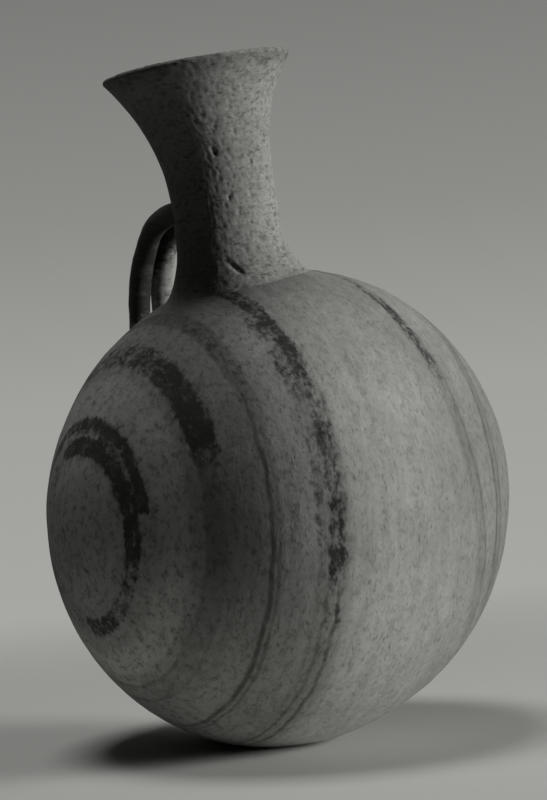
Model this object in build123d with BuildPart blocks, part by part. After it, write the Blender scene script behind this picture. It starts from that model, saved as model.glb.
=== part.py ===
from build123d import *
from math import cos, radians, sin, sqrt, tan
import os

# A barrel jug of fired clay: a round barrel lying on its side, with a leaning neck that opens
# into a wide mouth, and a small handle of two clay rolls behind the neck.
# X runs along the barrel axis, with the near end at -X. The handle is at +Y, and Z is up.
# The origin is on the floor, under the middle of the barrel. Sizes are in millimetres and degrees.

os.makedirs("parts", exist_ok=True)

# Barrel, thrown as one closed form
barrel_radius = 70.0          # at the girth
barrel_half_length = 67.6     # from the girth to either end
barrel_wall = 4.6
rest_flat_radius = 12.0       # flat that the jug stands on

# Disc that closes the far end of the barrel
plug_radius = 11.0            # on the outside
plug_bevel = 1.5              # by which it narrows over one thickness of the wall

# Neck: a straight tube up to the throat, then a flare
neck_lean = 7.0               # towards the near end
neck_wall = 3.8
throat_radius = 15.4
throat_rise = 22.0            # rises are measured along the neck, from the top of the barrel
lip_radius = 28.5
lip_rise = 61.6
lip_thickness = 3.0
lip_round = 0.8
flare_inset = 7.1             # a point half way up the flare, inside and below the lip
flare_drop = 11.4

# Coil of clay that joins the neck to the barrel
neck_lute_radius = 22.0
neck_lute_rise = 15.0
lute_edge = 0.6               # thickness of smoothed clay at its edges

# Handle: two rolls, pressed together at the neck and spread at the shoulder
roll_radius = 3.4
roll_squeeze = 0.1            # by which each roll is flattened against the other
roll_splay = 2.0
handle_rise = 20.6
handle_shift = 0.6            # of the handle's middle plane, towards the far end
handle_reach = 21.1           # from the neck to the first bend
foot_angle = 55.2             # where the rolls land on the barrel, from its top
foot_rise = 30.0              # from there up to the second bend
foot_lean = 5.0
bend_share = 0.45             # share of the run between the bends that each bend takes
seat_depth = 8.0              # by which the rolls' ends are left long before they are trimmed

# Clay smoothed around the ends of the handle
lute_swell = 1.8
neck_pad_reach = 4.0
shoulder_pad_reach = 8.0

# Places that follow from the sizes
axis_height = sqrt(barrel_radius**2 - rest_flat_radius**2)
barrel_centre = Vector(0, 0, axis_height)
barrel_axis = Axis(barrel_centre, (1, 0, 0))
barrel_section = Plane(barrel_centre, x_dir=(1, 0, 0), z_dir=(0, -1, 0))

neck_up = Vector(-sin(radians(neck_lean)), 0, cos(radians(neck_lean)))
neck_across = Vector(cos(radians(neck_lean)), 0, sin(radians(neck_lean)))
neck_axis = Axis(barrel_centre, neck_up)
neck_section = Plane(barrel_centre, x_dir=neck_across, z_dir=(0, -1, 0))
throat_height = barrel_radius + throat_rise
lip_height = barrel_radius + lip_rise

bore_radius = throat_radius - neck_wall
roll_offset = roll_radius - roll_squeeze
handle_height = barrel_radius + handle_rise
handle_middle = barrel_centre + neck_up * handle_height + neck_across * handle_shift
handle_plane = Plane(handle_middle, x_dir=(0, 1, 0), z_dir=neck_across)


# A solid of the barrel's shape: a ball drawn in or out along the barrel axis
def barrel_form(half_length, radius):
    with BuildPart(Plane(barrel_centre)) as form:
        Sphere(radius)
        scale(by=(half_length / radius, 1, 1))
    return form.part


# A solid of the neck's shape, from the middle of the barrel to the lip
def neck_form(tube_radius, flare_radius, mouth_radius):
    with BuildPart() as form:
        with BuildSketch(neck_section):
            with BuildLine():
                tube = Polyline((0, 0), (tube_radius, 0), (tube_radius, throat_height))
                flare_point = (flare_radius, lip_height - flare_drop)
                flare_end = (mouth_radius - flare_radius, flare_drop)
                flare = Spline(
                    tube @ 1,
                    flare_point,
                    (mouth_radius, lip_height),
                    tangents=((0, 1), flare_end),
                )
                Polyline(flare @ 1, (0, lip_height), (0, 0))
            make_face()
        revolve(axis=neck_axis)
    return form.part


barrel_outside = barrel_form(barrel_half_length, barrel_radius)
barrel_inside = barrel_form(barrel_half_length - barrel_wall, barrel_radius - barrel_wall)
neck_outside = neck_form(throat_radius, lip_radius - flare_inset, lip_radius)
neck_inside = neck_form(bore_radius, lip_radius - flare_inset - neck_wall, lip_radius - lip_thickness)

# The taper that the closing disc and its seat share, wider towards the outside
with BuildPart() as plug_taper:
    with BuildSketch(barrel_section):
        with BuildLine():
            Polyline(
                (barrel_half_length - 2 * barrel_wall, 0),
                (barrel_half_length - 2 * barrel_wall, plug_radius - 2 * plug_bevel),
                (barrel_half_length + barrel_wall, plug_radius + plug_bevel),
                (barrel_half_length + barrel_wall, 0),
                close=True,
            )
        make_face()
    revolve(axis=barrel_axis)

# Barrel: a shell with a hole for the neck, a seat for the closing disc and a flat underneath
with BuildPart() as barrel_body:
    add(barrel_outside)
    add(barrel_inside, mode=Mode.SUBTRACT)
    add(neck_outside, mode=Mode.SUBTRACT)
    add(plug_taper.part, mode=Mode.SUBTRACT)
    split(bisect_by=Plane.XY, keep=Keep.TOP)

# Closing disc, flush with the barrel inside and outside
with BuildPart() as closing_plug:
    add(barrel_outside)
    add(barrel_inside, mode=Mode.SUBTRACT)
    add(plug_taper.part, mode=Mode.INTERSECT)

# Neck: its foot fills the hole and ends flush with the inside of the barrel
with BuildPart() as neck:
    add(neck_outside)
    add(neck_inside, mode=Mode.SUBTRACT)
    add(barrel_inside, mode=Mode.SUBTRACT)
    lip_edges = neck.edges().filter_by(GeomType.CIRCLE).group_by(neck_axis)[-1]
    fillet(lip_edges, lip_round)

# Neck lute: a hollow curve from the neck out to the barrel
with BuildPart() as neck_lute:
    with BuildSketch(neck_section):
        with BuildLine():
            top = Vector(throat_radius + lute_edge, barrel_radius + neck_lute_rise)
            spread_height = sqrt(barrel_radius**2 - neck_lute_radius**2)
            spread = Vector(neck_lute_radius, spread_height + lute_edge)
            curve = TangentArc(top, spread, tangent=(0, -1))
            Polyline(curve @ 1, (neck_lute_radius, 0), (0, 0), (0, top.Y), curve @ 0)
        make_face()
    revolve(axis=neck_axis)
    add(barrel_outside, mode=Mode.SUBTRACT)
    add(neck_outside, mode=Mode.SUBTRACT)


# The radius of a bend that takes its share of the shorter run on either side
def bend_radius(before, corner, after):
    turn = (corner - before).get_angle(after - corner)
    shorter_run = min((corner - before).length, (after - corner).length)
    return bend_share * shorter_run / tan(radians(turn / 2))


# The handle's route, outwards and upwards from its level on the neck
foot = Vector(
    barrel_radius * sin(radians(foot_angle)),
    barrel_radius * cos(radians(foot_angle)) - handle_height,
)
tail = Vector(sin(radians(foot_lean)), -cos(radians(foot_lean)))
route = [
    Vector(bore_radius, 0),
    Vector(throat_radius + handle_reach, 0),
    foot - tail * foot_rise,
    foot + tail * seat_depth,
]
bends = [bend_radius(*route[0:3]), bend_radius(*route[1:4])]


# One roll, on its own side of the handle's middle plane
def handle_roll(side):
    roll_plane = handle_plane.offset(side * roll_offset).rotated((0, -side * roll_splay, 0))
    with BuildPart() as roll:
        with BuildLine(roll_plane) as path:
            FilletPolyline(*(tuple(point) for point in route), radius=bends)
        with BuildSketch(Plane(path.line @ 0, z_dir=path.line % 0)):
            Circle(roll_radius)
        sweep(path=path.line)
        split(bisect_by=handle_plane, keep=Keep.TOP if side > 0 else Keep.BOTTOM)
        add(neck_outside, mode=Mode.SUBTRACT)
        add(neck_lute.part, mode=Mode.SUBTRACT)
        add(barrel_outside, mode=Mode.SUBTRACT)
    return roll


handle_roll_near = handle_roll(-1)
handle_roll_far = handle_roll(1)

# Pad where the rolls leave the neck
neck_pad_plane = Plane(handle_plane.origin, x_dir=neck_across, z_dir=(0, 1, 0))
with BuildPart() as handle_neck_lute:
    with BuildSketch(neck_pad_plane.offset(bore_radius)):
        SlotCenterToCenter(2 * roll_offset, 2 * (roll_radius + lute_swell))
    with BuildSketch(neck_pad_plane.offset(throat_radius + neck_pad_reach)):
        SlotCenterToCenter(2 * roll_offset, 2 * (roll_radius + lute_edge))
    loft()
    add(neck_outside, mode=Mode.SUBTRACT)
    add(neck_lute.part, mode=Mode.SUBTRACT)
    add(handle_roll_near.part, mode=Mode.SUBTRACT)
    add(handle_roll_far.part, mode=Mode.SUBTRACT)

# Pad where the rolls land on the shoulder
foot_spacing = 2 * (roll_offset - foot.Y * tan(radians(roll_splay)))
tail_direction = handle_plane.from_local_coords(tail) - handle_plane.origin
foot_plane = Plane(handle_plane.from_local_coords(foot), x_dir=neck_across, z_dir=tail_direction)
with BuildPart() as handle_shoulder_lute:
    with BuildSketch(foot_plane.offset(-shoulder_pad_reach)):
        SlotCenterToCenter(foot_spacing, 2 * (roll_radius + lute_edge))
    with BuildSketch(foot_plane.offset(seat_depth)):
        SlotCenterToCenter(foot_spacing, 2 * (roll_radius + lute_swell))
    loft()
    add(barrel_outside, mode=Mode.SUBTRACT)
    add(handle_roll_near.part, mode=Mode.SUBTRACT)
    add(handle_roll_far.part, mode=Mode.SUBTRACT)

pieces = {
    "barrel_body": barrel_body,
    "closing_plug": closing_plug,
    "neck": neck,
    "neck_lute": neck_lute,
    "handle_roll_near": handle_roll_near,
    "handle_roll_far": handle_roll_far,
    "handle_neck_lute": handle_neck_lute,
    "handle_shoulder_lute": handle_shoulder_lute,
}
for name, piece in pieces.items():
    piece.part.label = name
    export_step(piece.part, f"parts/{name}.step")
    print(f"{name}: {len(piece.part.solids())} solid, {piece.part.volume / 1000:.2f} cm3")

print(f"bend radii of the handle: {bends[0]:.1f} and {bends[1]:.1f} mm")
print(f"height of the lip's middle: {axis_height + lip_height * neck_up.Z:.1f} mm")
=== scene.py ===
# %% [markdown]
# A wheel-thrown barrel jug of pale fired clay, with worn dark rings painted round its barrel.
# Every piece below stands where the CAD model puts it, so the frame is opened before anything else.

import math

import bmesh
import bpy
from mathutils import Matrix, Vector


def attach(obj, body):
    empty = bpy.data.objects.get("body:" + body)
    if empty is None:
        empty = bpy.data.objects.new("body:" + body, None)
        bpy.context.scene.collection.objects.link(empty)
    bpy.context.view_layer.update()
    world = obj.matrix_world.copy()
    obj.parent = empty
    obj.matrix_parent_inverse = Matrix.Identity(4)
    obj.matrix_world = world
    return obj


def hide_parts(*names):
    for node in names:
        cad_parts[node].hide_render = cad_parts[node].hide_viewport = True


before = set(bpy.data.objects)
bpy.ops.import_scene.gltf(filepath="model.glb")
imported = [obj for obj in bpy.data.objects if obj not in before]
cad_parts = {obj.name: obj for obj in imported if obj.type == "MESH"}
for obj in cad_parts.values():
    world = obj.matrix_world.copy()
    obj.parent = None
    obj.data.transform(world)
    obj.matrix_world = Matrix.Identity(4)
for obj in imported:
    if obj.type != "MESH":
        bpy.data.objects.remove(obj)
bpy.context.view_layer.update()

# %% [markdown]
# The potter's own measures. They are the CAD model's driving sizes, written in metres.
# The barrel lies along X, the neck leans a little towards -X, and the handle is on the +Y side.

# %% Sizes of the jug
MM = 0.001
BARREL_RADIUS = 70.0 * MM
BARREL_HALF_LENGTH = 67.6 * MM
BARREL_WALL = 4.6 * MM
REST_FLAT_RADIUS = 12.0 * MM
AXIS_HEIGHT = math.sqrt(BARREL_RADIUS**2 - REST_FLAT_RADIUS**2)
CENTRE = Vector((0.0, 0.0, AXIS_HEIGHT))
NECK_LEAN = math.radians(7.0)
NECK_UP = Vector((-math.sin(NECK_LEAN), 0.0, math.cos(NECK_LEAN)))
NECK_ACROSS = Vector((math.cos(NECK_LEAN), 0.0, math.sin(NECK_LEAN)))
OUTWARD = Vector((0.0, 1.0, 0.0))
print("barrel axis stands", round(AXIS_HEIGHT / MM, 2), "mm above the floor")

# %% [markdown]
# Three small helpers that stand for a hand on the mouse: pick one piece, draw a line of points by
# extruding a single vertex, and turn that line on the wheel with the Spin operator.
# Spin is the nearest thing that Blender has to throwing a pot.

# %% Helpers for thrown pieces
SEAM_WELD = 0.015 * MM


def pick(piece):
    """Select one piece alone and make it the active one."""
    bpy.ops.object.select_all(action="DESELECT")
    piece.select_set(True)
    bpy.context.view_layer.objects.active = piece


def draw_line(name, points, closed=False):
    """Draw a chain of points: one vertex, extruded from point to point."""
    bpy.ops.object.select_all(action="DESELECT")
    bpy.ops.mesh.primitive_plane_add(size=MM)
    piece = bpy.context.object
    piece.name = name
    piece.data.name = name
    bpy.ops.object.mode_set(mode="EDIT")
    bpy.ops.mesh.select_all(action="SELECT")
    bpy.ops.mesh.merge(type="CENTER")
    bpy.ops.transform.translate(value=points[0])
    for before, after in zip(points, points[1:]):
        bpy.ops.mesh.extrude_vertices_move(TRANSFORM_OT_translate={"value": after - before})
    if closed:
        line = bmesh.from_edit_mesh(piece.data)
        line.verts.ensure_lookup_table()
        for vertex in line.verts:
            vertex.select = vertex.index in (0, len(points) - 1)
        line.select_flush(True)
        bmesh.update_edit_mesh(piece.data)
        bpy.ops.mesh.edge_face_add()
    bpy.ops.object.mode_set(mode="OBJECT")
    return piece


def throw(piece, centre, axis, steps):
    """Turn a drawn line once round the wheel's axis and close the seam."""
    pick(piece)
    bpy.ops.object.mode_set(mode="EDIT")
    bpy.ops.mesh.select_all(action="SELECT")
    bpy.ops.mesh.spin(steps=steps, angle=2 * math.pi, center=centre, axis=axis)
    bpy.ops.mesh.select_all(action="SELECT")
    bpy.ops.mesh.remove_doubles(threshold=SEAM_WELD)
    bpy.ops.mesh.normals_make_consistent(inside=False)
    bpy.ops.object.mode_set(mode="OBJECT")


# %% [markdown]
# Clay is never quite true. A Displace modifier with a cloud texture gives slow dents where the grain
# is coarse, and a rough skin where it is fine. A ramp on the texture turns the clouds into pits.

# %% Helpers for the clay's surface
SHARP_TURN = math.radians(50)


def apply_all(piece):
    """Apply every modifier of a piece in order."""
    pick(piece)
    for modifier in list(piece.modifiers):
        bpy.ops.object.modifier_apply(modifier=modifier.name)


def roughen(piece, title, grain, height):
    """Move the skin in and out by clouds of one grain."""
    clouds = bpy.data.textures.new(title, "CLOUDS")
    clouds.noise_scale = grain
    clouds.noise_depth = 2
    push = piece.modifiers.new(title, "DISPLACE")
    push.texture = clouds
    push.texture_coords = "LOCAL"
    push.strength = height
    push.mid_level = 0.5
    apply_all(piece)


def pit(piece, title, grain, depth, start, end):
    """Sink small hollows where the clouds are thickest."""
    clouds = bpy.data.textures.new(title, "CLOUDS")
    clouds.noise_scale = grain
    clouds.noise_depth = 1
    clouds.use_color_ramp = True
    stops = clouds.color_ramp.elements
    stops[0].position = start
    stops[0].color = (1.0, 1.0, 1.0, 1.0)
    stops[1].position = end
    stops[1].color = (0.0, 0.0, 0.0, 1.0)
    push = piece.modifiers.new(title, "DISPLACE")
    push.texture = clouds
    push.texture_coords = "LOCAL"
    push.strength = depth
    push.mid_level = 1.0
    apply_all(piece)


def gouge(piece, marks):
    """Press marks into an upright skin: two (height, angle) ends, a half width and a depth each."""
    for vertex in piece.data.vertices:
        radius = math.hypot(vertex.co.x, vertex.co.y)
        turn = math.atan2(vertex.co.y, vertex.co.x)
        for start, end, half, depth in marks:
            foot = Vector((start[0] * MM, math.radians(start[1]) * radius))
            run = Vector((end[0] * MM, math.radians(end[1]) * radius)) - foot
            here = Vector((vertex.co.z, turn * radius)) - foot
            share = max(0.0, min(1.0, here.dot(run) / max(run.length_squared, 1e-12)))
            gap = (here - run * share).length
            if gap < half and vertex.normal.dot(Vector((vertex.co.x, vertex.co.y, 0.0))) > 0:
                sink = depth * (1.0 - (gap / half) ** 2) ** 2
                vertex.co.x *= 1.0 - sink / radius
                vertex.co.y *= 1.0 - sink / radius
    piece.data.update()


def smooth(piece):
    """Smooth shading, with edges kept where the surface really turns."""
    pick(piece)
    bpy.ops.object.shade_smooth_by_angle(angle=SHARP_TURN)


def seat(piece, slot, *nodes):
    """Tie a finished piece to the jug's one body and hide the solids that it stands for; slot is not used.
    """
    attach(piece, "root")
    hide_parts(*nodes)
    print(piece.name, len(piece.data.polygons), "faces")


# %% [markdown]
# The barrel is thrown as a closed egg, so its line runs from pole to pole along X.
# Faint throwing ridges go into the line itself. The barrel slumped a little while it was wet: the far
# side rose and the near side sank. Slow dents and hand marks then go over the whole skin.

# %% Barrel
BARREL_RINGS = 150
BARREL_STEPS = 208
RIDGE_HEIGHT = 0.04 * MM
RIDGE_WIDE = 5.3 * MM
RIDGE_FINE = 3.4 * MM
RIDGE_FINE_START = 1.3
RIDGE_FINE_SHARE = 0.6
SLUMP = 0.055
SLUMP_START = 0.15
SLUMP_FULL = 0.6


def ridge(way):
    """Throwing ridges, by the way along the barrel's skin."""
    wide = math.sin(2 * math.pi * way / RIDGE_WIDE)
    fine = math.sin(2 * math.pi * way / RIDGE_FINE + RIDGE_FINE_START)
    return RIDGE_HEIGHT * (wide + RIDGE_FINE_SHARE * fine)


def ease(value, low, high):
    """A soft step from 0 to 1."""
    share = min(1.0, max(0.0, (value - low) / (high - low)))
    return share * share * (3.0 - 2.0 * share)


barrel_line = []
for ring in range(BARREL_RINGS + 1):
    turn = math.pi * ring / BARREL_RINGS
    rise = BARREL_RADIUS * math.sin(turn) + ridge(turn * BARREL_RADIUS) * math.sin(turn)
    along = -BARREL_HALF_LENGTH * math.cos(turn)
    barrel_line.append(Vector((along, 0.0, AXIS_HEIGHT + max(0.0, rise))))
barrel = draw_line("barrel", barrel_line)
throw(barrel, CENTRE, (1.0, 0.0, 0.0), BARREL_STEPS)

for vertex in barrel.data.vertices:
    off_axis = math.hypot(vertex.co.y, vertex.co.z - AXIS_HEIGHT) / BARREL_RADIUS
    vertex.co.z += SLUMP * vertex.co.x * ease(off_axis, SLUMP_START, SLUMP_FULL)
roughen(barrel, "slow dents", grain=42.0 * MM, height=1.1 * MM)
roughen(barrel, "hand marks", grain=13.0 * MM, height=0.22 * MM)
print("barrel skin", len(barrel.data.vertices), "points")

# %% [markdown]
# The clay that joins the neck is pressed onto the barrel later on. So the barrel's skin is measured
# under it now, while it is whole, by casting a ray down the neck's way at each point of the joint.
# The joint's rings of points crowd together at the neck, where it is steepest.

# %% Skin under the joint
LUTE_STEPS = 220
LUTE_RINGS = 34
THROAT_RADIUS = 15.4 * MM
LUTE_NECK_RADIUS = THROAT_RADIUS - 0.2 * MM
LUTE_FOOT_RADIUS = 22.8 * MM


def skin_height(across, out):
    """How far up the neck's axis the barrel's skin lies, at a place beside that axis."""
    start = CENTRE + NECK_ACROSS * across + OUTWARD * out + NECK_UP * 2 * BARREL_RADIUS
    found, place, normal, face = barrel.ray_cast(start, -NECK_UP)
    return (place - CENTRE).dot(NECK_UP) if found else 0.0


def lute_radius(ring):
    """How far one ring of the joint lies from the neck's axis."""
    spread = 1.0 - math.cos(0.5 * math.pi * ring / LUTE_RINGS)
    return LUTE_NECK_RADIUS + (LUTE_FOOT_RADIUS - LUTE_NECK_RADIUS) * spread


lute_rings = [lute_radius(ring) for ring in range(LUTE_RINGS + 1)]
lute_floor = {}
for step in range(LUTE_STEPS):
    angle = 2 * math.pi * step / LUTE_STEPS
    for ring, radius in enumerate(lute_rings):
        lute_floor[ring, step] = skin_height(radius * math.cos(angle), radius * math.sin(angle))
print("skin measured at", len(lute_floor), "points")

# %% [markdown]
# Now the barrel is cut flat where it stands, and Solidify gives it a wall. The neck's bore is cut last,
# through skin and wall at once, by taking a plain cylinder away from the barrel.

# %% Barrel wall and bore
NECK_WALL = 3.8 * MM
BORE_RADIUS = THROAT_RADIUS - NECK_WALL
BORE_MIDDLE = 66.0 * MM
BORE_LENGTH = 40.0 * MM
BORE_SIDES = 96
pick(barrel)
bpy.ops.object.mode_set(mode="EDIT")
bpy.ops.mesh.select_all(action="SELECT")
bpy.ops.mesh.bisect(plane_co=(0, 0, 0), plane_no=(0, 0, 1), use_fill=True, clear_inner=True)
bpy.ops.mesh.select_all(action="SELECT")
bpy.ops.mesh.normals_make_consistent(inside=False)
bpy.ops.object.mode_set(mode="OBJECT")
barrel_wall = barrel.modifiers.new("wall", "SOLIDIFY")
barrel_wall.thickness = BARREL_WALL
barrel_wall.offset = -1.0
apply_all(barrel)

bpy.ops.object.select_all(action="DESELECT")
bpy.ops.mesh.primitive_cylinder_add(
    vertices=BORE_SIDES, radius=BORE_RADIUS, depth=BORE_LENGTH,
    location=CENTRE + NECK_UP * BORE_MIDDLE, rotation=(0.0, -NECK_LEAN, 0.0),
)
bore_tool = bpy.context.object
bore = barrel.modifiers.new("bore", "BOOLEAN")
bore.operation = "DIFFERENCE"
bore.solver = "EXACT"
bore.object = bore_tool
apply_all(barrel)
bpy.data.objects.remove(bore_tool)
smooth(barrel)
print("barrel with wall and bore", len(barrel.data.vertices), "points")

# %% [markdown]
# Barrels like this were thrown closed and the last hole at one pole was stopped with a disc of clay.
# It shows as a faint round swelling. Its line follows the barrel's end and drops over a soft edge.

# %% Closing disc
PLUG_RADIUS = 11.0 * MM
PLUG_PROUD = 0.3 * MM
PLUG_DEPTH = 3.8 * MM
PLUG_EDGE = 0.8 * PLUG_RADIUS
PLUG_DROP = 1.6 * PLUG_PROUD
PLUG_RINGS = 14
PLUG_STEPS = 72


def end_skin(radius):
    """Where the far end's skin lies along X, at a distance from the axis."""
    return BARREL_HALF_LENGTH * math.sqrt(1.0 - (radius / BARREL_RADIUS) ** 2)


disc_line = []
for ring in range(PLUG_RINGS + 1):
    radius = PLUG_RADIUS * ring / PLUG_RINGS
    proud = PLUG_PROUD - PLUG_DROP * ease(radius, PLUG_EDGE, PLUG_RADIUS)
    disc_line.append(Vector((end_skin(radius) + proud, 0.0, AXIS_HEIGHT + radius)))
disc_back = end_skin(0.0) - PLUG_DEPTH
disc_line.append(Vector((disc_back, 0.0, AXIS_HEIGHT + PLUG_RADIUS)))
disc_line.append(Vector((disc_back, 0.0, AXIS_HEIGHT)))
closing_disc = draw_line("closing_disc", disc_line)
throw(closing_disc, CENTRE, (1.0, 0.0, 0.0), PLUG_STEPS)
roughen(closing_disc, "disc dents", grain=7.0 * MM, height=0.25 * MM)
smooth(closing_disc)
print("closing disc", len(closing_disc.data.vertices), "points")

# %% [markdown]
# The neck is a tube that opens into a wide mouth. Its line goes up the outside, over the rounded lip
# and down the inside, and is turned upright first and leaned over afterwards.
# Two smooth cubic spans give the flare: from the throat to a point below the lip, and on to the lip.

# %% Neck line
NECK_FOOT = 66.6 * MM
THROAT_HEIGHT = BARREL_RADIUS + 22.0 * MM
LIP_RADIUS = 28.5 * MM
LIP_HEIGHT = BARREL_RADIUS + 61.6 * MM
LIP_SLOPE = 0.74
LIP_WALL = 3.0 * MM
FLARE_RADIUS = LIP_RADIUS - 7.1 * MM
FLARE_HEIGHT = LIP_HEIGHT - 11.4 * MM
FLARE_SLOPE = 0.50


def span(height, low, high):
    """Radius on a cubic between two (height, radius, slope) marks."""
    length = high[0] - low[0]
    t = (height - low[0]) / length
    return (
        (2 * t**3 - 3 * t**2 + 1) * low[1] + (t**3 - 2 * t**2 + t) * length * low[2]
        + (3 * t**2 - 2 * t**3) * high[1] + (t**3 - t**2) * length * high[2]
    )


def neck_radius(height):
    """The neck's outer radius at a height along its axis."""
    throat = (THROAT_HEIGHT, THROAT_RADIUS, 0.0)
    flare = (FLARE_HEIGHT, FLARE_RADIUS, FLARE_SLOPE)
    lip = (LIP_HEIGHT, LIP_RADIUS, LIP_SLOPE)
    if height <= THROAT_HEIGHT:
        return THROAT_RADIUS
    if height <= FLARE_HEIGHT:
        return span(height, throat, flare)
    return span(height, flare, lip)


def round_over(before, corner, after, radius, steps):
    """Points of an arc that rounds a corner between two others."""
    back = (before - corner).normalized()
    on = (after - corner).normalized()
    half = 0.5 * back.angle(on)
    middle = corner + (back + on).normalized() * (radius / math.sin(half))
    first = corner + back * (radius / math.tan(half)) - middle
    last = corner + on * (radius / math.tan(half)) - middle
    return [middle + first.slerp(last, step / steps) * radius for step in range(steps + 1)]


def neck_point(radius, height):
    """A point of the upright neck's line."""
    return Vector((radius, 0.0, height))


LIP_BEAD = 0.7 * MM
LIP_START = LIP_HEIGHT - 1.9 * MM
LIP_OUTER_ROUND = 1.0 * MM
LIP_INNER_ROUND = 1.2 * MM
LIP_SPACE = 0.3 * MM
OUTER_STEPS = 104
INNER_STEPS = 64
outer = []
for step in range(OUTER_STEPS + 1):
    height = NECK_FOOT + (LIP_START - NECK_FOOT) * step / OUTER_STEPS
    outer.append(neck_point(neck_radius(height), height))
lip_outside = neck_point(LIP_RADIUS + LIP_BEAD, LIP_HEIGHT)
lip_inside = neck_point(LIP_RADIUS - LIP_WALL, LIP_HEIGHT)
inner = []
for step in range(1, INNER_STEPS + 1):
    height = LIP_HEIGHT + (NECK_FOOT - LIP_HEIGHT) * step / INNER_STEPS
    thickness = NECK_WALL + (LIP_WALL - NECK_WALL) * ease(height, FLARE_HEIGHT, LIP_HEIGHT)
    inner.append(neck_point(neck_radius(height) - thickness, height))
over = round_over(outer[-1], lip_outside, lip_inside, LIP_OUTER_ROUND, steps=8)
into = round_over(lip_outside, lip_inside, inner[1], LIP_INNER_ROUND, steps=6)
neck_line = [point for point in outer if point.z < over[0].z - LIP_SPACE] + over + into
neck_line += [point for point in inner if point.z < into[-1].z - LIP_SPACE]
print("neck line", len(neck_line), "points")

# %% [markdown]
# The closed line is turned upright and dented, so that the mouth isn't quite round. Clouds sink small
# pits all over the skin, and the few deep ones are pressed in, each at its own height and angle.
# Tube and mouth don't stand quite in line, so each is pulled its own way before the neck is leaned over.

# %% Neck and mouth
NECK_STEPS = 240
NECK_PITS = [
    ((105.7, -122.8), (104.6, -122.0), 0.9 * MM, 0.7 * MM),
    ((100.8, -83.9), (100.1, -83.9), 0.8 * MM, 0.6 * MM),
    ((101.0, -90.0), (100.3, -89.0), 0.9 * MM, 0.25 * MM),
    ((109.9, -99.0), (109.3, -98.4), 0.7 * MM, 0.5 * MM),
    ((91.9, -115.9), (91.6, -115.5), 0.6 * MM, 0.4 * MM),
    ((115.5, -60.0), (115.1, -58.0), 0.7 * MM, 0.4 * MM),
    ((97.0, -20.0), (96.2, -19.0), 0.8 * MM, 0.5 * MM),
    ((108.0, 35.0), (107.4, 36.0), 0.8 * MM, 0.5 * MM),
    ((103.0, 150.0), (102.3, 151.0), 0.8 * MM, 0.4 * MM),
]
PULL_WAY = Vector((0.84, -0.53, 0.0))
TUBE_PULL = 0.55 * MM
TUBE_RISE = (76.0, 88.0)
TUBE_FALL = (100.0, 118.0)
MOUTH_PULL = -0.7 * MM
MOUTH_RISE = (104.0, 128.0)


def lean_over(piece):
    """Set an upright piece on the middle of the barrel, leaned as the neck is."""
    piece.rotation_euler = (0.0, -NECK_LEAN, 0.0)
    piece.location = CENTRE
    pick(piece)
    bpy.ops.object.transform_apply(location=True, rotation=True, scale=True)


neck = draw_line("neck_and_mouth", neck_line, closed=True)
throw(neck, (0.0, 0.0, 0.0), (0.0, 0.0, 1.0), NECK_STEPS)
roughen(neck, "uneven mouth", grain=21.0 * MM, height=0.7 * MM)
roughen(neck, "rough skin", grain=2.0 * MM, height=0.08 * MM)
pit(neck, "small pits", grain=1.0 * MM, depth=0.22 * MM, start=0.56, end=0.72)
pit(neck, "large pits", grain=2.2 * MM, depth=0.3 * MM, start=0.70, end=0.84)
gouge(neck, NECK_PITS)
for vertex in neck.data.vertices:
    height = vertex.co.z / MM
    tube = TUBE_PULL * ease(height, *TUBE_RISE) * (1.0 - ease(height, *TUBE_FALL))
    vertex.co += PULL_WAY * (tube + MOUTH_PULL * ease(height, *MOUTH_RISE))
lean_over(neck)
smooth(neck)
print("neck and mouth", len(neck.data.vertices), "points")

# %% [markdown]
# Where the neck was luted on, the potter drew clay down onto the barrel in a soft hollow curve.
# A circle is extruded outwards ring by ring, then each ring is let down onto the barrel's skin.
# Solidify thickens the sheet inwards, into the walls of neck and barrel, so that it is a closed piece.

# %% Joint of neck and barrel
LUTE_TOP = BARREL_RADIUS + 17.0 * MM
LUTE_WALL = 2.6 * MM
LUTE_SINK = 0.35 * MM
JOINT_CREASES = [
    ((74.1, -128.7), (72.2, -122.6), 0.8 * MM, 0.3 * MM),
    ((72.2, -122.6), (71.0, -119.4), 0.9 * MM, 0.6 * MM),
    ((71.0, -119.0), (69.9, -116.0), 1.2 * MM, 0.6 * MM),
    ((83.6, -125.2), (83.2, -124.8), 0.7 * MM, 0.5 * MM),
    ((73.0, 15.0), (71.0, 24.0), 0.9 * MM, 0.5 * MM),
]
bpy.ops.object.select_all(action="DESELECT")
bpy.ops.mesh.primitive_circle_add(vertices=LUTE_STEPS, radius=LUTE_NECK_RADIUS)
neck_joint = bpy.context.object
neck_joint.name = "neck_joint"
neck_joint.data.name = "neck_joint"
bpy.ops.object.mode_set(mode="EDIT")
bpy.ops.mesh.select_all(action="SELECT")
for before, after in zip(lute_rings, lute_rings[1:]):
    bpy.ops.mesh.extrude_edges_move()
    size = after / before
    bpy.ops.transform.resize(value=(size, size, 1.0), center_override=(0.0, 0.0, 0.0))
bpy.ops.object.mode_set(mode="OBJECT")

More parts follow.
